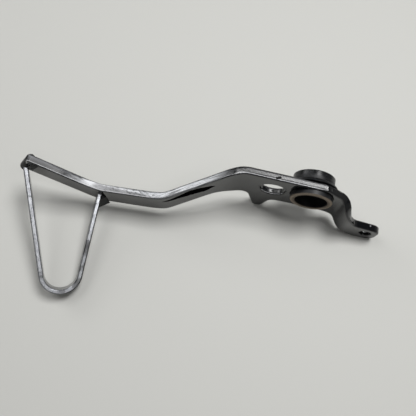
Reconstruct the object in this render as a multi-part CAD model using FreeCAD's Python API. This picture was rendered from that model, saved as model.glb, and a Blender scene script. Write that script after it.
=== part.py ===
# Rear brake pedal of a small motorcycle: a flat steel arm with a pivot sleeve and a bent-strip toe loop.
# Frame: origin at the middle of the pivot bore on the outer face of the plate, X along the pedal with the
# brake-rod end at +X and the toe end at -X, -Y towards the rider's foot, Z up. The pedal rests on the
# bottom of its lug, of its rod end and of its toe loop, all at z = -REST_DROP.
import FreeCAD, Part
import math
import os

V = FreeCAD.Vector

# Plate stock and edges
PLATE = 4.8             # thickness of the steel plate
ARM_WIDTH = 18.0        # width of the arm between the lug and the toe
EDGE_BREAK = 0.6        # the plate's long edges, broken by grinding
REST_DROP = 34.4        # from the bore's middle down to what the pedal rests on

# Pivot sleeve
BORE = 20.0             # bore for the pivot shaft
SLEEVE_WALL = 3.0       # wall of the sleeve
SLEEVE_FRONT = 3.2      # how far it stands out of the plate's outer face
SLEEVE_BACK = 8.4       # how far it stands out of the plate's inner face
SLEEVE_WELD = 3.0       # leg of the ring of weld on the plate's inner face

# Plate around the pivot, seen from the side
TOP_FRONT = 16.8        # top edge above the bore at the arm's shoulder
TOP_REAR = 13.8         # top edge above the bore at the corner behind the sleeve
SHOULDER_X = -51.0      # where the top edge turns down into the arm
CORNER_X = 7.5          # corner of the top edge behind the sleeve
BELLY = 19.2            # lower edge of the plate below the bore
LIGHTENING_HOLE = 16.0  # round hole between the sleeve and the lug
HOLE_X = -24.0
HOLE_Z = -1.2

# Lug that stops the pedal, under the lightening hole
LUG_X = -31.3           # middle of the lug's tip
LUG_TIP = 5.6           # width of its tip
LUG_TAPER = 5.0         # how much wider it gets on each side up to the plate

# Rod end
ROD_HOLE = 8.0          # hole for the pin of the brake rod
ROD_HOLE_X = 41.9
ROD_HOLE_RISE = 10.2    # its middle above the rest plane
ROD_END_BEYOND = 8.0    # steel beyond the middle of the hole
ROD_END_HEIGHT = 17.4   # height of the rod end
ROD_JOG = 7.8           # how far the rod end is set towards the rider
ROD_JOG_START = 18.6    # where its jog leaves the plate
ROD_JOG_RUN = 5.0       # length of the jog along the pedal
BEND_STEPS = 6          # sections along each bend of the jog

# Arm, seen from above: outer face of the plate
BEND_X = -43.0          # first bend, where the arm leaves the plate
OFFSET_X = -88.3        # second bend
ARM_OFFSET = 21.0       # offset of the arm at the second bend
KNEE_X = -129.3         # slight third bend
KNEE_OFFSET = 23.6
TOE_OFFSET = 21.2       # offset at the toe end
BEND_RADIUS = 14.0      # inner radius of the bends of the arm

# Arm, seen from the side
TOE_X = -170.8          # upper corner of the arm's end, which is cut square to the arm
DIP_FRONT_X = -135.0    # where the top edge starts to rise to the toe
DIP_REAR_X = -95.5      # where the top edge stops falling from the shoulder
DIP_TOP = -3.0          # top edge along the dip
TOE_TOP = 17.9          # top edge at the toe end

# Toe loop: a strip on edge, bent to a U and welded to the arm's outer face
STRIP = 3.0             # thickness of the strip
STRIP_WIDTH = 12.0      # its width, across the plane of the loop
STRIP_BREAK = 0.6       # the strip's long edges, broken
LOOP_RADIUS = 11.8      # radius of the U at the middle of the strip
LOOP_FLARE = 10.4       # each leg's angle to the middle of the loop, degrees
LEG_LENGTH = 67.5       # front leg's outer side, from the arm to the start of the U's bend
LEG_IN = 2.5            # where it meets the arm's outer face, in from the arm's lower end corner
LOOP_YAW = 15.4         # turn of the loop about Z, then Y, then X, degrees
LOOP_PITCH = 17.8
LOOP_ROLL = 17.0

# Welds of the toe loop
TOE_BEAD = 2.8          # radius of the bead that wraps the arm's end
TOE_BEAD_IN = 0.9       # how far its middle lies inside the arm's end
TOE_BEAD_DROP = 3.8     # how far its lower end lies under the leg's upper edge
HEEL_WELD_ARM = 7.0     # the rear weld's reach along the arm
HEEL_WELD_LEG = 6.4     # the rear weld's reach along the leg


def corner_arc(before, corner, after, radius):
    """Tangent points and middle point of an arc that rounds one corner."""
    back = (before - corner).normalize()
    ahead = (after - corner).normalize()
    half = back.getAngle(ahead) / 2.0
    reach = radius / math.tan(half)
    middle = (back + ahead).normalize()
    centre = corner + middle * (radius / math.sin(half))
    return corner + back * reach, centre - middle * radius, corner + ahead * reach


def rounded_edges(corners, closed):
    """Edges of a path whose corners are (x, y, radius); a radius of 0 keeps the corner sharp."""
    points = [V(x, y, 0.0) for x, y, radius in corners]
    edges = []
    last = None
    count = len(corners)
    for i in range(count):
        radius = corners[i][2]
        if radius == 0.0:
            start = end = points[i]
            arc = None
        else:
            start, middle, end = corner_arc(points[i - 1], points[i], points[(i + 1) % count], radius)
            arc = Part.Arc(start, middle, end).toShape()
        if last is not None and last.distanceToPoint(start) > 1e-6:
            edges.append(Part.LineSegment(last, start).toShape())
        if arc is not None:
            edges.append(arc)
        if i == 0:
            first = start
        last = end
    if closed:
        edges.append(Part.LineSegment(last, first).toShape())
    return edges


def prism(corners, height):
    """Solid raised along Z from a closed outline of (x, y, radius) corners."""
    face = Part.Face(Part.Wire(rounded_edges(corners, True)))
    return face.extrude(V(0.0, 0.0, height))


def upright(solid):
    """Turn a prism drawn in XY so that its outline stands in XZ and its height runs along +Y."""
    solid.rotate(V(0, 0, 0), V(1, 0, 0), 90.0)
    solid.translate(V(0, side_depth / 2.0, 0))
    return solid


def offset_path(corners, distance):
    """Corners of a path moved sideways by distance, to its left, with its bends kept concentric."""
    points = [V(x, y, 0.0) for x, y, radius in corners]
    lefts = []
    for a, b in zip(points, points[1:]):
        along = (b - a).normalize()
        lefts.append(V(-along.y, along.x, 0.0))
    moved = []
    for i, (x, y, radius) in enumerate(corners):
        before = lefts[max(i - 1, 0)]
        after = lefts[min(i, len(lefts) - 1)]
        shift = (before + after) * (distance / (1.0 + before.dot(after)))
        turn = before.cross(after).z
        if radius:
            radius -= distance if turn > 0 else -distance
        moved.append((x + shift.x, y + shift.y, radius))
    return moved


def y_cylinder(diameter, y_from, y_to, x=0.0, z=0.0):
    return Part.makeCylinder(diameter / 2.0, y_to - y_from, V(x, y_from, z), V(0, 1, 0))


# Sizes that follow from the ones above
sleeve_od = BORE + 2.0 * SLEEVE_WALL
side_depth = 4.0 * KNEE_OFFSET
plan_height = 3.0 * REST_DROP

# Pedal seen from above: the outer face from the rod end to the toe end
rod_end_x = ROD_HOLE_X + ROD_END_BEYOND
jog_radius = PLATE * 0.75
toe_slope = (KNEE_OFFSET - TOE_OFFSET) / (KNEE_X - TOE_X)
toe_rise = math.atan2(TOE_TOP - DIP_TOP, DIP_FRONT_X - TOE_X)
outer_face = [
    (rod_end_x + 10.0, -ROD_JOG, 0.0),
    (ROD_JOG_START + ROD_JOG_RUN, -ROD_JOG, jog_radius + PLATE),
    (ROD_JOG_START, 0.0, jog_radius),
    (BEND_X, 0.0, BEND_RADIUS),
    (OFFSET_X, -ARM_OFFSET, BEND_RADIUS + PLATE),
    (KNEE_X, -KNEE_OFFSET, BEND_RADIUS + PLATE),
    (TOE_X - 30.0, -TOE_OFFSET + 30.0 * toe_slope, 0.0),
]


def plan_band(near, far):
    """Solid between two offsets of the outer face, over the pedal's whole height."""
    front = rounded_edges(offset_path(outer_face, -near), False)
    back = rounded_edges(offset_path(outer_face, -far), False)
    ends = []
    for side in (0, -1):
        a = front[side].Vertexes[side].Point
        b = back[side].Vertexes[side].Point
        ends.append(Part.LineSegment(a, b).toShape())
    face = Part.Face(Part.Wire(Part.__sortEdges__(front + back + ends)))
    band = face.extrude(V(0, 0, plan_height))
    band.translate(V(0, 0, -plan_height / 2.0))
    return band


# Pedal seen from the side, clockwise from the corner behind the sleeve
rod_top = ROD_END_HEIGHT - REST_DROP
lug_left = LUG_X - LUG_TIP / 2.0
lug_right = LUG_X + LUG_TIP / 2.0
arm_drop = math.hypot(1.0, (TOP_FRONT - DIP_TOP) / (SHOULDER_X - DIP_REAR_X)) * ARM_WIDTH
toe_under_x = TOE_X - ARM_WIDTH * math.sin(toe_rise)
toe_under_z = TOE_TOP - ARM_WIDTH * math.cos(toe_rise)
side_outline = [
    (CORNER_X, TOP_REAR, 1.5),
    (17.5, 6.4, 14.0),
    (32.2, rod_top + 2.4, 6.0),
    (rod_end_x, rod_top - 0.8, 6.0),
    (rod_end_x, -REST_DROP, 7.0),
    (36.0, -REST_DROP, 5.0),
    (12.5, -BELLY - 0.8, 10.0),
    (-11.0, -BELLY + 0.6, 12.0),
    (lug_right + LUG_TAPER + 0.6, -BELLY + 0.4, 5.0),
    (lug_right, -REST_DROP, 2.4),
    (lug_left, -REST_DROP, 2.4),
    (lug_left - LUG_TAPER, -15.0, 4.5),
    (SHOULDER_X - 7.0, -6.6, 14.0),
    (DIP_REAR_X, DIP_TOP - arm_drop, 30.0),
    (DIP_FRONT_X - 1.5, DIP_TOP - ARM_WIDTH - 1.0, 20.0),
    (toe_under_x, toe_under_z, 2.0),
    (TOE_X, TOE_TOP, 1.5),
    (DIP_FRONT_X, DIP_TOP, 30.0),
    (DIP_REAR_X, DIP_TOP, 30.0),
    (SHOULDER_X, TOP_FRONT, 14.0),
]

side_face = Part.Face(Part.Wire(rounded_edges(side_outline, True)))
side_prism = upright(prism(side_outline, side_depth))
pedal_arm = side_prism.common(plan_band(0.0, PLATE))

# The jog of the rod end is bent after the plate is cut, so its cut sides stay square to the bent plate.
# It is a loft through sections across the plate, between two stations on the flats beside it.
jog_angle = math.atan2(ROD_JOG, ROD_JOG_RUN)
jog_tangent = math.tan(jog_angle / 2.0)
jog_from = ROD_JOG_START - jog_radius * jog_tangent - 1.0
jog_to = ROD_JOG_START + ROD_JOG_RUN + (jog_radius + PLATE) * jog_tangent + 1.0


def jog_stations():
    """Points of the outer face along the jog and its turn there, from the plate to the rod end."""
    down = [(V(jog_from, 0, 0), 0.0)]
    back_up = [(V(jog_to, -ROD_JOG, 0), 0.0)]
    for step in range(BEND_STEPS + 1):
        turn = jog_angle * step / BEND_STEPS
        arc = V(math.sin(turn), math.cos(turn) - 1.0, 0)
        down.append((V(jog_from + 1.0, 0, 0) + arc * jog_radius, turn))
        back_up.append((V(jog_to - 1.0, -ROD_JOG, 0) - arc * (jog_radius + PLATE), turn))
    return down + back_up[::-1]


def outline_heights(x):
    """Lowest and highest point of the side outline at x."""
    upright_line = Part.LineSegment(V(x, -plan_height, 0), V(x, plan_height, 0)).toShape()
    cut = upright_line.common(side_face).BoundBox
    return cut.YMin, cut.YMax


def jog_section(point, turn):
    """Rectangle with broken corners across the plate at one station."""
    low, high = outline_heights(point.x)
    low_on, high_on = outline_heights(point.x + 0.1)
    low_break = EDGE_BREAK * math.hypot(1.0, (low_on - low) / 0.1)
    high_break = EDGE_BREAK * math.hypot(1.0, (high_on - high) / 0.1)
    across = V(math.sin(turn), math.cos(turn), 0)
    corners = []
    for depth, height in (
        (0.0, low + low_break), (0.0, high - high_break), (EDGE_BREAK, high), (PLATE - EDGE_BREAK, high),
        (PLATE, high - high_break), (PLATE, low + low_break), (PLATE - EDGE_BREAK, low), (EDGE_BREAK, low),
    ):
        corners.append(point + across * depth + V(0, 0, height))
    return Part.makePolygon(corners + corners[:1])


jog = Part.makeLoft([jog_section(point, turn) for point, turn in jog_stations()], True, True)
gap_corner = V(jog_from, -side_depth / 2.0, -plan_height / 2.0)
jog_gap = Part.makeBox(jog_to - jog_from, side_depth, plan_height, gap_corner)
pedal_arm = pedal_arm.cut(y_cylinder(LIGHTENING_HOLE, -1.0, PLATE + 1.0, HOLE_X, HOLE_Z))


def outline_edges(plate):
    """Edges where the plate's faces meet its cut sides; the sides are the faces that run along Y."""
    seen = {}
    for face in plate.Faces:
        u0, u1, v0, v1 = face.ParameterRange
        runs_along_y = abs(face.normalAt((u0 + u1) / 2.0, (v0 + v1) / 2.0).y) < 1e-4
        for edge in face.Edges:
            seen.setdefault(edge.hashCode(), [edge, set()])[1].add(runs_along_y)
    return [edge for edge, kinds in seen.values() if len(kinds) == 2]


pedal_arm = pedal_arm.makeChamfer(EDGE_BREAK, outline_edges(pedal_arm))
pedal_arm = pedal_arm.cut(jog_gap).fuse(jog)
pedal_arm = pedal_arm.cut(y_cylinder(sleeve_od, -1.0, PLATE + 1.0))
pedal_arm = pedal_arm.cut(
    y_cylinder(ROD_HOLE, -ROD_JOG - 1.0, -ROD_JOG + PLATE + 1.0, ROD_HOLE_X, ROD_HOLE_RISE - REST_DROP))

# Pivot sleeve: turned tube pressed through the plate
sleeve_back_y = PLATE + SLEEVE_BACK
pivot_sleeve = y_cylinder(sleeve_od, -SLEEVE_FRONT, sleeve_back_y)
pivot_sleeve = pivot_sleeve.cut(y_cylinder(BORE, -SLEEVE_FRONT - 1.0, sleeve_back_y + 1.0))
outer_rims = [e for e in pivot_sleeve.Edges
              if isinstance(e.Curve, Part.Circle) and abs(e.Curve.Radius - sleeve_od / 2.0) < 1e-6]
pivot_sleeve = pivot_sleeve.makeChamfer(SLEEVE_WALL / 6.0, outer_rims)
bore_mouths = [e for e in pivot_sleeve.Edges
               if isinstance(e.Curve, Part.Circle) and abs(e.Curve.Radius - BORE / 2.0) < 1e-6]
pivot_sleeve = pivot_sleeve.makeChamfer(SLEEVE_WALL / 8.0, bore_mouths)

# Ring of weld between the sleeve and the plate's inner face
weld_foot = sleeve_od / 2.0
weld_section = Part.makePolygon([
    V(weld_foot, PLATE, 0),
    V(weld_foot + SLEEVE_WELD, PLATE, 0),
    V(weld_foot + SLEEVE_WELD * 0.62, PLATE + SLEEVE_WELD * 0.62, 0),
    V(weld_foot, PLATE + SLEEVE_WELD, 0),
    V(weld_foot, PLATE, 0),
])
sleeve_weld = Part.Face(weld_section).revolve(V(0, 0, 0), V(0, 1, 0), 360.0)

# Toe loop: U-shaped band of strip in its own plane, tip at -Y, then turned into place
flare = math.radians(LOOP_FLARE)
leg_spare = LEG_LENGTH * 1.4


def loop_side(radius):
    """Edges of one face of the strip, from the left leg's end round the tip to the right leg's end."""
    touch = V(radius * math.cos(flare), -radius * math.sin(flare), 0)
    leg = V(math.sin(flare), math.cos(flare), 0) * leg_spare
    left_touch = V(-touch.x, touch.y, 0)
    left_leg = V(-leg.x, leg.y, 0)
    return [
        Part.LineSegment(left_touch + left_leg, left_touch).toShape(),
        Part.Arc(left_touch, V(0, -radius, 0), touch).toShape(),
        Part.LineSegment(touch, touch + leg).toShape(),
    ]


outer_side = loop_side(LOOP_RADIUS + STRIP / 2.0)
inner_side = loop_side(LOOP_RADIUS - STRIP / 2.0)
leg_ends = [
    Part.LineSegment(outer_side[0].Vertexes[0].Point, inner_side[0].Vertexes[0].Point).toShape(),
    Part.LineSegment(outer_side[2].Vertexes[1].Point, inner_side[2].Vertexes[1].Point).toShape(),
]
loop_face = Part.Face(Part.Wire(Part.__sortEdges__(outer_side + inner_side + leg_ends)))
toe_loop = loop_face.extrude(V(0, 0, -STRIP_WIDTH))
long_edges = [e for e in toe_loop.Edges
              if abs(e.Vertexes[0].Z - e.Vertexes[-1].Z) < 1e-6 and e.Length > STRIP * 1.5]
toe_loop = toe_loop.makeChamfer(STRIP_BREAK, long_edges)
loop_turn = FreeCAD.Rotation(LOOP_YAW, LOOP_PITCH, LOOP_ROLL)

# The loop hangs from its front leg: that leg's outer side meets the arm's outer face at this point
foot_x = toe_under_x + LEG_IN
foot_y = -KNEE_OFFSET - (foot_x - KNEE_X) * toe_slope
front_leg = V(-(LOOP_RADIUS + STRIP / 2.0) / math.cos(flare), 0, 0)
front_leg += V(-math.sin(flare), math.cos(flare), 0) * LEG_LENGTH
loop_middle = V(foot_x, foot_y, 0) - loop_turn.multVec(front_leg)
toe_loop.Placement = FreeCAD.Placement(V(loop_middle.x, loop_middle.y, 0), loop_turn)
toe_loop.translate(V(0, 0, -REST_DROP - toe_loop.optimalBoundingBox().ZMin))
loop_place = toe_loop.Placement
behind_arm = plan_band(0.0, 120.0)
toe_loop = toe_loop.cut(behind_arm)

# Welds of the loop. Both start where an outer side of a leg meets the arm's outer face at the toe.
toe_face = V(KNEE_X, -KNEE_OFFSET, 0)
toe_face_normal = V(toe_slope, 1.0, 0).normalize()


def leg_foot(side, depth):
    """Point in the loop's own frame where a leg's outer side meets the arm, and the leg's direction.

    side is -1 for the left leg and 1 for the right one; depth is counted down from the upper edge.
    """
    radius = LOOP_RADIUS + STRIP / 2.0
    start = V(side * radius * math.cos(flare), -radius * math.sin(flare), -depth)
    along = V(side * math.sin(flare), math.cos(flare), 0)
    gap = (toe_face - loop_place.multVec(start)).dot(toe_face_normal)
    speed = loop_turn.multVec(along).dot(toe_face_normal)
    return start + along * (gap / speed), along


# Toe bead: a round bead that wraps the arm's square end, from its upper inner corner to the left leg
left_foot, along_leg = leg_foot(-1, TOE_BEAD_DROP)
bead_low = loop_place.multVec(left_foot) + V(TOE_BEAD_IN, 1.0, 0)
bead_high = V(TOE_X, -TOE_OFFSET + PLATE - 1.5, TOE_TOP - TOE_BEAD - 1.2)
bead_axis = bead_high - bead_low
toe_weld = Part.makeCylinder(TOE_BEAD, bead_axis.Length, bead_low, bead_axis)
toe_weld = toe_weld.fuse([Part.makeSphere(TOE_BEAD, bead_low), Part.makeSphere(TOE_BEAD, bead_high)])
toe_weld = toe_weld.cut([pedal_arm, toe_loop])
toe_weld = max(toe_weld.Solids, key=lambda piece: piece.Volume)

# Rear fillet in the corner between the right leg's outer side and the arm, wider towards its foot
face_line = loop_turn.inverted().multVec(loop_turn.multVec(V(0, 0, 1)).cross(toe_face_normal)).normalize()
if face_line.x < 0:
    face_line = face_line * -1.0


def fillet_section(depth, reach_leg, reach_arm):
    """Triangle across the fillet, with spare behind the arm's face and inside the strip."""
    foot, along = leg_foot(1, depth)
    inward = face_line * (-STRIP / 2.0)
    corners = [foot - along * reach_leg, foot + face_line * reach_arm]
    corners += [corners[1] + along * 3.0, foot + along * 3.0 + inward, corners[0] + inward]
    return Part.makePolygon(corners + corners[:1])


heel_weld = Part.makeLoft([
    fillet_section(STRIP_BREAK, HEEL_WELD_LEG * 0.4, HEEL_WELD_ARM * 0.4),
    fillet_section(STRIP_WIDTH - STRIP_BREAK, HEEL_WELD_LEG, HEEL_WELD_ARM),
], True, True)
heel_weld.Placement = loop_place
heel_weld = heel_weld.cut([behind_arm, toe_loop])
heel_weld = max(heel_weld.Solids, key=lambda piece: piece.Volume)

nodes = {
    "pedal_arm": pedal_arm,
    "pivot_sleeve": pivot_sleeve,
    "sleeve_weld": sleeve_weld,
    "toe_loop": toe_loop,
    "toe_weld": toe_weld,
    "heel_weld": heel_weld,
}

os.makedirs("parts", exist_ok=True)
for name, shape in nodes.items():
    solid = shape.removeSplitter()
    solid.exportStep("parts/%s.step" % name)
    print(name, "solids", len(solid.Solids), "valid", solid.isValid(), "volume", round(solid.Volume, 1))
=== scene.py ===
import math

import bmesh
import bpy
from mathutils import Matrix, Vector, noise
from mathutils.bvhtree import BVHTree


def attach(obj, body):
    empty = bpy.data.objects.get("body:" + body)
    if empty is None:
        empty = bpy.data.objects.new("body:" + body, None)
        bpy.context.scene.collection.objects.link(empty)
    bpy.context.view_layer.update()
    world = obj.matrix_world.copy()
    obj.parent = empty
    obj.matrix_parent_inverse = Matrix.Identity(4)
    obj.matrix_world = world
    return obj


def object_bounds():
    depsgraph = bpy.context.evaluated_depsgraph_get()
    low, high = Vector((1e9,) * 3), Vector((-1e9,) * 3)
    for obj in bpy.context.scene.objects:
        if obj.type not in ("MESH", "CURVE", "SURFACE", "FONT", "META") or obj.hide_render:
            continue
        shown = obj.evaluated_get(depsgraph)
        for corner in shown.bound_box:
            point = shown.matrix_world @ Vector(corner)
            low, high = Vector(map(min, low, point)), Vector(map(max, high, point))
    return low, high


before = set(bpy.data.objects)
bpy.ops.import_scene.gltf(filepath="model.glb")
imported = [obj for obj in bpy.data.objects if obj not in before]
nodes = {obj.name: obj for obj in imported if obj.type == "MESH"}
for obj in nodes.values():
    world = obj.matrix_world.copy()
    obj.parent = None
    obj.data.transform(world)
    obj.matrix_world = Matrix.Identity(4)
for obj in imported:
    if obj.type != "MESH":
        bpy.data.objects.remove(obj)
cad_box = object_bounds()


# Pedal arm: one flat steel plate, cut to outline, bent three times along its length and set over at the rod
# end, then stoved with gloss black enamel. Boots have rubbed its upper edge to bright steel over the two
# bends nearer the toe, and only scuffed its toe end. The nick and the painted glints are where the
# photograph has them.
MM = 0.001                                      # the sizes and places of marks are in mm
PAST_END = 400.0                                # farther than either end of the pedal
RUNS = ((-PAST_END, -97.0, (-44, 4, 20)),       # from X, to X, and the way the grinding marks run there
        (-97.0, -47.0, (45, 21, 20)),
        (-47.0, PAST_END, (1, 0, 0)))
STREAK_LENGTH, STREAK_WIDTH = 16.0, 0.8         # grinding marks, drawn coarser than real so that they show
EDGE_ROLL = 1.5                                 # radius of the plate's rolled edges under the enamel
BEVEL_RAYS = 48                                 # enough for a narrow edge to come out without speckle
RUBBED_X = (-146.0, -58.0)                      # band that boots have rubbed
DULL_RUBBING_END = -119.0                       # towards the toe from here the rubbing is weaker
KEPT_STRIP_X = (-136.0, -99.0)                  # enamel kept along the front corner of the rubbed band
SCRATCHED_X = (-139.0, -112.0)                  # brightest scratches, over the bend by the loop's rear leg
SPECKED_X = (-106.0, -70.0)                     # fresh specks
SCUFFED_X = (-190.0, -141.0)                    # toe end
DULLING_X = (-140.0, -166.0)                    # where the toe end starts to go dull, and is dull
SCRATCHES_EASE_X = (-130.0, -120.0)             # the scratches grow weaker between these
FRONT_HIGHLIGHT_EASES_X = (-104.0, -88.0)           # so does the painted highlight along the front corner
FRONT_CORNER_Y = -20.4                          # Y of the upper edge's front corner near the toe
UPPER_EDGE_END = 6.0                            # the marks on the upper edge stop at this X, over the sleeve
FRONT_LINE_END = 4.0                            # and the painted highlight line on its front corner at this one
FRONT_GROOVE_Y, BACK_GROOVE_Y = (0.95, 1.55), (3.5, 4.3)     # dull lengthwise bands by the sleeve
NICK = ((-23.9, 1.3, 15.5), (-23.0, 1.6, 15.4), (-22.1, 2.2, 15.3))
NICK_RADIUS = 0.8
DING, DING_RADIUS, DING_DEPTH = (9.5, 2.3, 11.4), 1.0, 0.144
GLINT_SPOTS = (((42.6, -4.6, -17.4), 0.9, 0.3), ((44.6, -5.6, -17.6), 0.5, 0.2))     # painted glints on the rod end's upper face: place, radius, soft rim
WAVE_DEPTH = 0.012                              # ripple of the stoved enamel
GLOSS_BLACK = "#0F1012"       # stoved gloss enamel: it mirrors the floor and the lamps
THIN_BLACK = "#26272B"        # the same enamel where it is thin over steel
WORN_STEEL = "#B4B6B9"        # steel that boots have rubbed bright
SCUFF_GREY = "#6E6F73"        # enamel gone grey under fine scuffs
BRIGHT_STEEL_AND_HIGHLIGHT = "#D8D9DC"      # fresh scratches and specks; also painted highlights: the line on the front corner, glints on the rod end
DUST = "#A19C95"              # dust on the upper edge
NEAR_BLACK = "#050506"         # the nick, painted shade in the sleeve's bore, and the painted dark reflection on the arm's face
ENAMEL_IOR = 1.55
SMOOTH = {"interpolation_type": "SMOOTHSTEP"}


def linear(hex_colour):
    """Scene-linear RGBA from an sRGB hex colour."""
    parts = [int(hex_colour[i:i + 2], 16) / 255 for i in (1, 3, 5)]
    return [c / 12.92 if c <= 0.04045 else ((c + 0.055) / 1.055) ** 2.4 for c in parts] + [1.0]


def new_finish(name):
    """A material, its node tree, its shader and the object position that its patterns read."""
    made = bpy.data.materials.new(name)
    made.use_nodes = True
    made_tree = made.node_tree
    place = made_tree.nodes.new("ShaderNodeTexCoord").outputs["Object"]
    return made, made_tree, made_tree.nodes["Principled BSDF"], place


def wire(node, inputs):
    """Fills a node's inputs, in order or by name, with numbers, hex colours or other nodes' outputs."""
    for key, item in inputs.items() if isinstance(inputs, dict) else enumerate(inputs):
        if isinstance(item, bpy.types.NodeSocket):
            node.id_data.links.new(item, node.inputs[key])
        else:
            node.inputs[key].default_value = linear(item) if isinstance(item, str) else item


def add(kind, inputs=(), out=0, **settings):
    """Adds a node to the tree in hand, with its settings and inputs, and gives back one of its outputs."""
    node = tree.nodes.new("ShaderNode" + kind)
    for name, value in settings.items():
        setattr(node, name, value)
    wire(node, inputs)
    return node.outputs[out]


def chain(operation, *masks):
    """Masks joined in turn: MULTIPLY is where all of them lie, MAXIMUM where any lies, ADD their sum."""
    joined = masks[0]
    for mask in masks[1:]:
        joined = add("Math", (joined, mask), operation=operation)
    return joined


def all_but(mask, share=1.0):
    """What a mask leaves: 1 where it is 0, and less by the share where it is 1."""
    return add("Math", (mask, -share, 1.0), operation="MULTIPLY_ADD")


def fade(axis, first, last, at_first=0.0, at_last=1.0):
    """Goes from one value to another between two places along an axis, in mm."""
    at = add("SeparateXYZ", (position,), out=axis)
    return add("MapRange", (at, first * MM, last * MM, at_first, at_last), **SMOOTH)


def zone(axis, low, high, soft):
    """1 between two places along an axis, in mm, with soft ends."""
    return chain("MULTIPLY", fade(axis, low - soft, low + soft), fade(axis, high + soft, high - soft))


def spot(place, radius, soft):
    """1 inside a ball round a place, in mm, with a soft rim."""
    away = add("VectorMath", (position, [v * MM for v in place]), out="Value", operation="DISTANCE")
    return add("MapRange", (away, (radius + soft) * MM, (radius - soft) * MM, 0.0, 1.0), **SMOOTH)


def turned(normal, direction, low, high):
    """0 to 1 as a normal turns towards a direction, between two cosines."""
    lean = add("VectorMath", (normal, direction), out="Value", operation="DOT_PRODUCT")
    return add("MapRange", (lean, low, high, 0.0, 1.0), **SMOOTH)


def grain(way, length, width):
    """Streaks that run one way, with their length and width in mm."""
    along = Vector(way).normalized()
    aside = along.cross(Vector((0, 0, 1))).normalized()
    stretched = [add("VectorMath", (position, axis / (size * MM)), out="Value", operation="DOT_PRODUCT")
                 for axis, size in ((along, length), (aside, width), (along.cross(aside), width))]
    return add("TexNoise", {"Vector": add("CombineXYZ", stretched), "Scale": 1.0, "Detail": 3.0,
                            "Roughness": 0.6})


def coats(base, *layers):
    """Colour of a base with layers laid over it in turn, each a mask and a colour."""
    for mask, colour in layers:
        base = add("Mix", {0: mask, 6: base, 7: colour}, out=2, data_type="RGBA")
    return base


def paint(piece, made):
    """Gives a piece one material."""
    piece.data.materials.clear()
    piece.data.materials.append(made)


# Stoved enamel over ground steel: a deep black mirror on the faces, which breaks into long streaks of satin
# steel on the upper edge. Its patterns are clouds 11 mm across, fine grit, and the grinding marks.
finish, tree, shader, position = new_finish("gloss_black_plate")
cloud = add("TexNoise", {"Vector": position, "Scale": 1 / (11.0 * MM), "Detail": 4.0, "Roughness": 0.55})
grit = add("TexNoise", {"Vector": position, "Scale": 1 / (0.45 * MM), "Detail": 5.0, "Roughness": 0.7})
runs = [zone("X", low, high, 3.0) for low, high, way in RUNS]
streak = chain("ADD", *(chain("MULTIPLY", grain(way, STREAK_LENGTH, STREAK_WIDTH), run)
                        for (_, _, way), run in zip(RUNS, runs)))
rear_run = runs[-1]
true_normal = add("NewGeometry", out="True Normal")
rolled_normal = add("Bevel", (EDGE_ROLL * MM,), samples=BEVEL_RAYS)
upward = chain("MULTIPLY", turned(true_normal, (0, 0, 1), 0.55, 0.9),
               zone("X", -PAST_END, UPPER_EDGE_END, 2.0))

# Marks of use on the upper edge, from the toe end to the sleeve.
toe_end = chain("MULTIPLY", upward, fade("X", *DULLING_X, 0.0, 0.5))
scuffed = chain("MULTIPLY", upward, zone("X", *SCUFFED_X, 4.0),
                fade("Y", FRONT_CORNER_Y + 0.4, FRONT_CORNER_Y + 3.6, 0.1, 1.0),
                add("MapRange", (streak, 0.30, 0.60, 0.65, 1.0), **SMOOTH))
scratched = chain("MULTIPLY", upward, zone("X", *SCRATCHED_X, 4.0), fade("X", *SCRATCHES_EASE_X, 0.9, 0.45),
                  fade("Y", FRONT_CORNER_Y, FRONT_CORNER_Y + 1.0, 0.4, 1.0),
                  add("MapRange", (streak, 0.30, 0.55, 0.5, 1.0), **SMOOTH))
kept_strip = chain("MULTIPLY", zone("X", *KEPT_STRIP_X, 4.0),
                   fade("Y", FRONT_CORNER_Y + 1.1, FRONT_CORNER_Y + 0.1, 0.0, 0.75))
rubbed = chain("MULTIPLY", zone("X", *RUBBED_X, 8.0), upward)
dull_rubbing = zone("X", -PAST_END, DULL_RUBBING_END, 6.0)
worn = chain("MULTIPLY", rubbed, add("MapRange", (streak, 0.34, 0.54, 0.15, 1.0), **SMOOTH),
             all_but(kept_strip), all_but(dull_rubbing, 0.35))
specks = chain("MULTIPLY", upward, add("MapRange", (grit, 0.60, 0.66, 0.0, 1.0), **SMOOTH),
               chain("MAXIMUM", zone("X", *SPECKED_X, 5.0),
                     add("MapRange", (cloud, 0.66, 0.74, 0.0, 1.0), **SMOOTH)))
thin = chain("MULTIPLY", upward, add("MapRange", (streak, 0.42, 0.68, 0.0, 0.8), **SMOOTH))
dust = chain("MULTIPLY", upward, add("MapRange", (grit, 0.56, 0.74, 0.0, 0.05), **SMOOTH))
grooves = chain("MULTIPLY", upward, rear_run, add("MapRange", (cloud, 0.3, 0.5, 0.5, 1.0), **SMOOTH),
                chain("MAXIMUM", zone("Y", *FRONT_GROOVE_Y, 0.3),
                      chain("MULTIPLY", zone("Y", *BACK_GROOVE_Y, 0.4), 0.6)))
nick = chain("MAXIMUM", *(spot(place, NICK_RADIUS, 0.2) for place in NICK))
# Painted glints: small bright spots on the rod end's upper face.
painted_glint = chain("MAXIMUM", *(spot(*place_and_size) for place_and_size in GLINT_SPOTS))

# Painted highlight: a thin bright line along the rolled front corner, where it faces forward and up.
painted_front_highlight = chain("MULTIPLY", turned(rolled_normal, (0, -1, 0), 0.17, 0.27),
                   turned(rolled_normal, (0, -1, 0), 0.55, 0.42), turned(rolled_normal, (0, 0, 1), 0.4, 0.6),
                   zone("X", -PAST_END, FRONT_LINE_END, 3.0),
                   add("MapRange", (streak, 0.3, 0.45, 0.5, 1.0), **SMOOTH),
                   chain("MAXIMUM", fade("X", *FRONT_HIGHLIGHT_EASES_X, 0.9, 0.35),
                         chain("MULTIPLY", rear_run, 0.75)))

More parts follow.
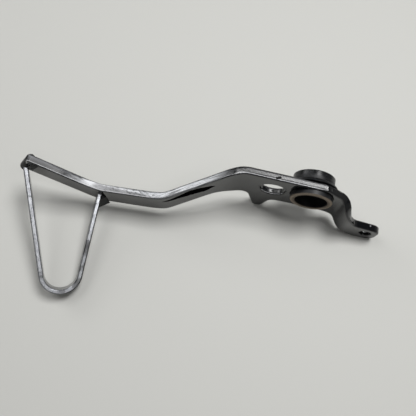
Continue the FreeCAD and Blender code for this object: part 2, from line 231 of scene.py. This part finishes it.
# Smooth enamel is rough by about 0.1. Grinding marks, grooves and rubbing add to it, and scratched steel is
# half satin, so it scatters the light as well as mirroring it.
mirror_toe = zone("X", -PAST_END, RUBBED_X[0], 6.0)
rough = chain("ADD", add("MapRange", (cloud, 0.35, 0.7, 0.07, 0.13), **SMOOTH),
              chain("MULTIPLY", grooves, 0.5),
              chain("MULTIPLY", upward, add("MapRange", (streak, 0.35, 0.65, 0.09, 0.24), **SMOOTH),
                    all_but(mirror_toe, 0.8)))
rough = chain("MAXIMUM", rough, nick, chain("MULTIPLY", painted_glint, 0.7))
rough = chain("ADD", rough, chain("MULTIPLY", worn, 0.12), chain("MULTIPLY", rubbed, dull_rubbing, 0.16))
rough = chain("MAXIMUM", rough, toe_end)
satin = add("MapRange", (scratched, 0.0, 1.0, 0.9, 0.3), **SMOOTH)
ripple = add("TexNoise", {"Vector": position, "Scale": 1 / (2.4 * MM), "Detail": 1.0, "Roughness": 0.55})
height = chain("ADD", ripple, chain("MULTIPLY", upward, streak, 0.25),
               chain("MULTIPLY", spot(DING, DING_RADIUS, 0.5), -DING_DEPTH / WAVE_DEPTH))
wire(shader, {
    "Base Color": coats(GLOSS_BLACK, (thin, THIN_BLACK), (worn, WORN_STEEL), (scuffed, SCUFF_GREY),
                        (scratched, BRIGHT_STEEL_AND_HIGHLIGHT), (specks, BRIGHT_STEEL_AND_HIGHLIGHT), (painted_front_highlight, BRIGHT_STEEL_AND_HIGHLIGHT),
                        (dust, DUST), (nick, NEAR_BLACK), (painted_glint, BRIGHT_STEEL_AND_HIGHLIGHT)),
    "Roughness": rough,
    "Metallic": chain("MULTIPLY", worn, all_but(nick), satin),
    "IOR": ENAMEL_IOR,
    "Normal": add("Bump", {"Distance": WAVE_DEPTH * MM, "Height": height, "Normal": rolled_normal})})
paint(nodes["pedal_arm"], finish)


# Pivot sleeve: a steel tube welded through the plate and enamelled with it, which turns on the frame's pivot
# shaft. Its front ring was faced after that and has gone tan with a little rust; shade is painted into its
# bore and the ring's inner half.
BORE_RADIUS = 10.1            # a little past the bore, mm
RING_SHADE_REACH = (12.2, 11.0)      # radius where the painted shade on the ring starts, and where it is full, mm
TOOL_PITCH = 0.35             # lathe marks on the ring, mm
RING_Y = (-6.0, -2.0)         # the front ring, mm
NOSE_Y = (1.0, -0.5)          # in front of the plate the sleeve goes dull between these, mm
COLLAR_FRONT_Y = (1.0, 3.0)   # and behind it between these,
COLLAR_BACK_Y = (10.8, 8.6)   # up to its back rim, which stays bright
SLEEVE_ROLL = 0.35            # radius of its rolled edges, mm
SLEEVE_WAVE = 0.015           # mm
BARE_TAN = "#8B8072"          # faced steel, tan from oil and old rust
RUST = "#5A3B28"              # light rust in specks
RING_SHADE_BROWN = "#3A332C"       # painted shade on the ring's inner half, towards the bore
# Enamelled steel tube: dull black outside, with a soft tan metal ring in front that keeps its lathe marks.
finish, tree, shader, position = new_finish("sleeve_steel")
cloud = add("TexNoise", {"Vector": position, "Scale": 1 / (5.0 * MM), "Detail": 3.0, "Roughness": 0.55})
grit = add("TexNoise", {"Vector": position, "Scale": 1 / (0.5 * MM), "Detail": 5.0, "Roughness": 0.7})
across = add("VectorMath", (position, (1.0, 0.0, 1.0)), operation="MULTIPLY")
radius = add("VectorMath", (across,), out="Value", operation="LENGTH")
lathe_marks = add("Math", (chain("MULTIPLY", radius, 2 * math.pi / (TOOL_PITCH * MM)),), operation="SINE")
front_ring = chain("MULTIPLY", turned(add("NewGeometry", out="True Normal"), (0, -1, 0), 0.5, 0.8),
                   zone("Y", *RING_Y, 0.2))
in_bore = add("MapRange", (radius, (BORE_RADIUS + 0.5) * MM, BORE_RADIUS * MM, 0.0, 1.0), **SMOOTH)
rusty = chain("MULTIPLY", add("MapRange", (grit, 0.5, 0.7, 0.0, 1.0), **SMOOTH),
              add("MapRange", (cloud, 0.4, 0.6, 0.0, 1.0), **SMOOTH))
ring_shade = add("MapRange", (radius, RING_SHADE_REACH[0] * MM, RING_SHADE_REACH[1] * MM, 0.0, 0.5), **SMOOTH)
# Painted shade: the ring goes brown towards the bore.
ring_tone = coats(BARE_TAN, (rusty, RUST), (ring_shade, RING_SHADE_BROWN))
dull_collar = chain("MULTIPLY", fade("Y", *COLLAR_BACK_Y), fade("Y", *COLLAR_FRONT_Y))
dull = chain("MAXIMUM", dull_collar, fade("Y", *NOSE_Y), in_bore)
ripple = add("TexNoise", {"Vector": position, "Scale": 1 / (1.5 * MM), "Detail": 3.0, "Roughness": 0.55})
height = chain("ADD", chain("MULTIPLY", lathe_marks, front_ring, 0.3), ripple)
# Painted shade: the bore is near black.
wire(shader, {
    "Base Color": coats(GLOSS_BLACK, (add("MapRange", (cloud, 0.5, 0.7, 0.0, 0.5), **SMOOTH), THIN_BLACK),
                        (front_ring, ring_tone),
                        (chain("MULTIPLY", in_bore, all_but(front_ring)), NEAR_BLACK)),
    "Roughness": chain("ADD", add("MapRange", (cloud, 0.35, 0.7, 0.20, 0.28), **SMOOTH),
                       chain("MULTIPLY", front_ring, 0.15), chain("MULTIPLY", dull, 0.22)),
    "Metallic": chain("MULTIPLY", front_ring, 0.75),
    "IOR": ENAMEL_IOR,
    "Specular IOR Level": 0.3,
    "Normal": add("Bump", {"Distance": SLEEVE_WAVE * MM, "Height": height,
                           "Normal": add("Bevel", (SLEEVE_ROLL * MM,), samples=BEVEL_RAYS)})})
paint(nodes["pivot_sleeve"], finish)


# Toe loop: a steel strip on edge, bent to a U and enamelled with the arm. Soles have worn its upper edge to
# a satin band of steel. Smudges of enamel are left, most of them low on the rear leg; its sides stay black.
STRIP_UP = Vector((0.359, -0.204, 0.910)).normalized()      # the way the strip's worn edge faces
STRIP_OUT = (0.8, -0.6, 0.0)                                # the way the rear leg's outer side leans
REAR_LEG_LOW = ((-149.0, -100.0), (-84.0, -52.0))           # X and Y where more enamel is left, mm
INNER_ROLL, OUTER_ROLL = 0.3, 0.8                           # radius of the strip's edges, mm
STRIP_WAVE = 0.005                                          # mm
RUBBED_STEEL = "#A8AAAE"      # satin steel where soles have worn the enamel away
# The arm's enamel, worn: satin steel that shines softly all along the edge, between gloss black sides.
finish, tree, shader, position = new_finish("gloss_black_strip")
cloud = add("TexNoise", {"Vector": position, "Scale": 1 / (6.0 * MM), "Detail": 3.0, "Roughness": 0.55})
smudge = add("TexNoise", {"Vector": position, "Scale": 1 / (7.0 * MM), "Detail": 2.0, "Roughness": 0.5})
cross_marks = add("TexNoise", {"Vector": position, "Scale": 1 / (2.0 * MM), "Detail": 1.0, "Roughness": 0.5})
thinning = add("TexNoise", {"Vector": position, "Scale": 1 / (3.5 * MM), "Detail": 2.0, "Roughness": 0.55})
swell = add("TexNoise", {"Vector": position, "Scale": 1 / (4.0 * MM), "Detail": 1.0, "Roughness": 0.55})
tight_roll, wide_roll = (add("Bevel", (roll * MM,), samples=BEVEL_RAYS) for roll in (INNER_ROLL, OUTER_ROLL))
upper_edge = turned(add("NewGeometry", out="True Normal"), STRIP_UP, 0.45, 0.68)
outer_side = turned(wide_roll, STRIP_OUT, 0.52, 0.68)
rear_leg = chain("MULTIPLY", zone("X", *REAR_LEG_LOW[0], 3.0), zone("Y", *REAR_LEG_LOW[1], 5.0))
kept = chain("MAXIMUM", add("MapRange", (smudge, 0.56, 0.70, 0.0, 0.7), **SMOOTH),
             chain("MULTIPLY", rear_leg, add("MapRange", (smudge, 0.40, 0.54, 0.45, 0.95), **SMOOTH)),
             add("MapRange", (cross_marks, 0.60, 0.74, 0.0, 0.3), **SMOOTH))
bare = chain("MULTIPLY", upper_edge, all_but(chain("MAXIMUM", kept, outer_side)))
thin = chain("MULTIPLY", add("MapRange", (thinning, 0.4, 0.65, 0.0, 1.0), **SMOOTH), 0.45)
strip_normal = add("Mix", {0: outer_side, 4: tight_roll, 5: wide_roll}, out=1, data_type="VECTOR")
wire(shader, {
    "Base Color": coats(GLOSS_BLACK, (thin, THIN_BLACK), (bare, coats(RUBBED_STEEL, (thin, SCUFF_GREY)))),
    "Roughness": chain("ADD", add("MapRange", (cloud, 0.35, 0.7, 0.12, 0.22), **SMOOTH),
                       chain("MULTIPLY", bare, 0.18)),
    "Metallic": chain("MULTIPLY", bare, 0.9),
    "IOR": ENAMEL_IOR,
    "Normal": add("Bump", {"Distance": STRIP_WAVE * MM, "Height": swell, "Normal": strip_normal})})
paint(nodes["toe_loop"], finish)


# Welds: beads of weld steel round the sleeve, round the arm's square end and behind the loop's rear leg.
# They were enamelled with the rest, so their ripples show soft and dull under a thick coat.
RIPPLE, RIPPLE_DEPTH = 1.1, 0.04      # width and depth of the bead's ripples, mm
BEAD_ROLL = 0.6                       # mm
# Enamelled weld bead: soft ripples with hardly any shine, darker than the plate beside them.
finish, tree, shader, position = new_finish("painted_weld")
cloud = add("TexNoise", {"Vector": position, "Scale": 1 / (2.2 * MM), "Detail": 4.0, "Roughness": 0.55})
bead = add("TexNoise", {"Vector": position, "Scale": 1 / (RIPPLE * MM), "Detail": 2.0, "Roughness": 0.55})
wire(shader, {
    "Base Color": coats(GLOSS_BLACK, (add("MapRange", (cloud, 0.5, 0.7, 0.0, 0.6), **SMOOTH), THIN_BLACK)),
    "Roughness": add("MapRange", (cloud, 0.35, 0.7, 0.30, 0.42), **SMOOTH),
    "IOR": ENAMEL_IOR,
    "Specular IOR Level": 0.1,
    "Normal": add("Bump", {"Distance": RIPPLE_DEPTH * MM, "Height": bead,
                           "Normal": add("Bevel", (BEAD_ROLL * MM,), samples=BEVEL_RAYS)})})
for weld in ("sleeve_weld", "toe_weld", "heel_weld"):
    paint(nodes[weld], finish)


# Painted dark reflection: a thin black sheet on the outer face of the arm's middle run, ragged along both
# its edges, in place of a dark reflection there. It starts as a strip of squares, whose corners are laid on
# the plate's face by rays from the rider's side.
REFLECTION_PATCH_LOW = ((-90.5, -6.8), (-83.5, -5.0), (-79.5, -3.7), (-73.6, -2.1),
             (-69.0, -0.9), (-65.0, -0.3), (-62.0, 2.1), (-59.2, 4.8))        # X and Z of its edges, mm
REFLECTION_PATCH_HIGH = ((-90.5, -6.4), (-83.5, -1.6), (-77.6, 2.4), (-73.5, 5.3),
              (-69.0, 6.5), (-64.4, 6.3), (-62.0, 6.3), (-59.2, 5.1))
REFLECTION_PATCH_SQUARES = 60
REFLECTION_PATCH_LIFT = 0.03             # mm above the enamel
FRAY = 0.5                    # the most that an edge wanders, mm


def height_at(edge, x):
    """Height of an edge of (x, z) points at x."""
    for (x0, z0), (x1, z1) in zip(edge, edge[1:]):
        if x <= x1:
            return z0 + (z1 - z0) * (x - x0) / (x1 - x0)
    return edge[-1][1]


arm_face = BVHTree.FromObject(nodes["pedal_arm"], bpy.context.evaluated_depsgraph_get())
reflection_patch_mesh = bmesh.new()
bmesh.ops.create_grid(reflection_patch_mesh, x_segments=REFLECTION_PATCH_SQUARES, y_segments=1, size=1.0)
for corner in reflection_patch_mesh.verts:
    x = REFLECTION_PATCH_LOW[0][0] + (REFLECTION_PATCH_LOW[-1][0] - REFLECTION_PATCH_LOW[0][0]) * (corner.co.x + 1) / 2
    side = 1 if corner.co.y > 0 else -1
    low, high = height_at(REFLECTION_PATCH_LOW, x), height_at(REFLECTION_PATCH_HIGH, x)
    wander = min(FRAY, (high - low) * 0.3) * noise.noise(Vector((x * 0.9, 7.0 * side, 0.3)))
    z = (high if side > 0 else low) + side * wander
    hit, outward, _, _ = arm_face.ray_cast(Vector((x * MM, -0.2, z * MM)), Vector((0, 1, 0)))
    corner.co = hit + outward * REFLECTION_PATCH_LIFT * MM
reflection_patch_data = bpy.data.meshes.new("painted_dark_reflection")
reflection_patch_mesh.to_mesh(reflection_patch_data)
reflection_patch_mesh.free()
painted_dark_reflection = bpy.data.objects.new("painted_dark_reflection", reflection_patch_data)
bpy.context.collection.objects.link(painted_dark_reflection)
# Painted dark reflection: flat black with no shine, a little paler in patches.
finish, tree, shader, position = new_finish("painted_reflection_black")
patches = add("TexNoise", {"Vector": position, "Scale": 1 / (1.2 * MM), "Detail": 4.0, "Roughness": 0.55})
pale_patches = add("MapRange", (patches, 0.55, 0.75, 0.0, 0.25), **SMOOTH)
wire(shader, {
    "Base Color": coats(NEAR_BLACK, (pale_patches, THIN_BLACK)),
    "Roughness": 0.85,
    "Specular IOR Level": 0.0})
paint(painted_dark_reflection, finish)
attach(painted_dark_reflection, "root")


# Floor: one plain matt board, wide enough for every view. Far from the pedal, where the lamps don't reach,
# the eye sees the pale wall's colour instead; this doesn't light the pedal and leaves its shadow as it is.
BOARD_WIDTH = 6.0
BOARD_MIDDLE_X = -0.06
BOARD_FADES = (0.30, 0.85)    # distance from the board's middle where the wall's colour starts and is full
GLOSSY_SHARE = 0.3            # how much of the wall the enamel mirrors, which keeps its upper faces dark
PALE_FLOOR = "#C3C3BF"        # matt pale board
PALE_WALL = "#D0D0CC"         # pale backdrop far behind it


def seen_ray():
    """1 for rays the eye sees straight or through, a share for mirrored ones, 0 for those that light."""
    seen = add("LightPath", out="Is Camera Ray")
    for ray, share in (("Is Glossy Ray", GLOSSY_SHARE), ("Is Transmission Ray", 1.0)):
        seen = add("Math", (add("LightPath", out=ray), share, seen), operation="MULTIPLY_ADD")
    return seen


floor_z = cad_box[0][2]
bpy.ops.mesh.primitive_plane_add(size=BOARD_WIDTH, location=(BOARD_MIDDLE_X, 0.0, floor_z))
floor = bpy.context.object
floor.name = "floor"
finish, tree, shader, position = new_finish("pale_board")
wire(shader, {"Base Color": PALE_FLOOR, "Roughness": 0.9})
away = add("VectorMath", (position,), out="Value", operation="LENGTH")
far_off = chain("MULTIPLY", add("MapRange", (away, *BOARD_FADES, 0.0, 1.0), **SMOOTH), seen_ray())
wall = add("Emission", {"Color": PALE_WALL})
wire(tree.nodes["Material Output"], {"Surface": add("MixShader", (far_off, shader.outputs["BSDF"], wall))})
paint(floor, finish)


# Lamps: a large soft box from the right and one from the left, two narrow panels near the camera that show
# as streaks in the upper edges, and a low window on the left. All are plain white and equally far away.
LAMP_DISTANCE = 0.9
LAMPS = (("right_box", (0.27, 0.21, 0.94), (0.28, 0.30), 6.6),       # name, direction, size and power
         ("front_panel", (0.36, -0.16, 0.92), (0.46, 0.08), 0.65),
         ("tip_panel", (0.28, -0.35, 0.86), (0.18, 0.12), 0.30),
         ("left_panel", (-0.41, 0.17, 0.90), (0.42, 0.40), 1.65),
         ("left_window", (-0.78, 0.34, 0.52), (0.36, 0.36), 1.3))
pedal_middle = Vector((-0.063, -0.010, floor_z))
for name, direction, size, power in LAMPS:
    lamp = bpy.data.lights.new(name, "AREA")
    lamp.shape = "RECTANGLE"
    lamp.size, lamp.size_y = size
    lamp.energy = power
    holder = bpy.data.objects.new(name, lamp)
    bpy.context.collection.objects.link(holder)
    back = Vector(direction).normalized()
    side = Vector((0, 1, 0)).cross(back).normalized()
    turn = Matrix((side, back.cross(side), back)).transposed().to_4x4()
    holder.matrix_world = Matrix.Translation(pedal_middle + back * LAMP_DISTANCE) @ turn


# Sky: very weak in the light that it sends. The eye sees a pale wall in its place, which ends part of the
# way up, so that the enamel's upper faces mirror a dark room above it.
WALL_ENDS = (0.44, 0.60)      # upward part of the view where the wall starts to fade, and where it is gone
WALL_STRENGTH = 0.96
SKY_STRENGTH = 0.04
world = bpy.data.worlds.new("studio")
world.use_nodes = True
tree = world.node_tree
upward_part = add("SeparateXYZ", (add("TexCoord", out="Generated"),), out="Z")
wall_strength = add("MapRange", (upward_part, *WALL_ENDS, WALL_STRENGTH, 0.0))
sky_strength = add("Math", (wall_strength, seen_ray(), SKY_STRENGTH), operation="MULTIPLY_ADD")
wire(tree.nodes["Background"], {"Color": PALE_WALL, "Strength": sky_strength})
bpy.context.scene.world = world
bpy.context.scene.view_settings.view_transform = "Standard"


# Camera at the photograph's angle: 72 degrees above the floor and 12.6 degrees round to the side. Its place
# and its lens were worked out from the pedal's outline and holes in the photograph.
CAMERA_PLACE = (-0.04207, -0.10443, 0.26224)
CAMERA_AIM = (-0.06321, -0.00983, -0.03432)
PHOTO_WIDTH = 416
FOCAL_PIXELS = 450
SENSOR_WIDTH = 36.0
camera = bpy.data.objects.new("camera", bpy.data.cameras.new("camera"))
bpy.context.collection.objects.link(camera)
camera.location = CAMERA_PLACE
camera.rotation_euler = (Vector(CAMERA_AIM) - Vector(CAMERA_PLACE)).to_track_quat("-Z", "Y").to_euler()
camera.data.sensor_width = SENSOR_WIDTH
camera.data.lens = SENSOR_WIDTH * FOCAL_PIXELS / PHOTO_WIDTH
camera.data.clip_start = 0.01
bpy.context.scene.camera = camera
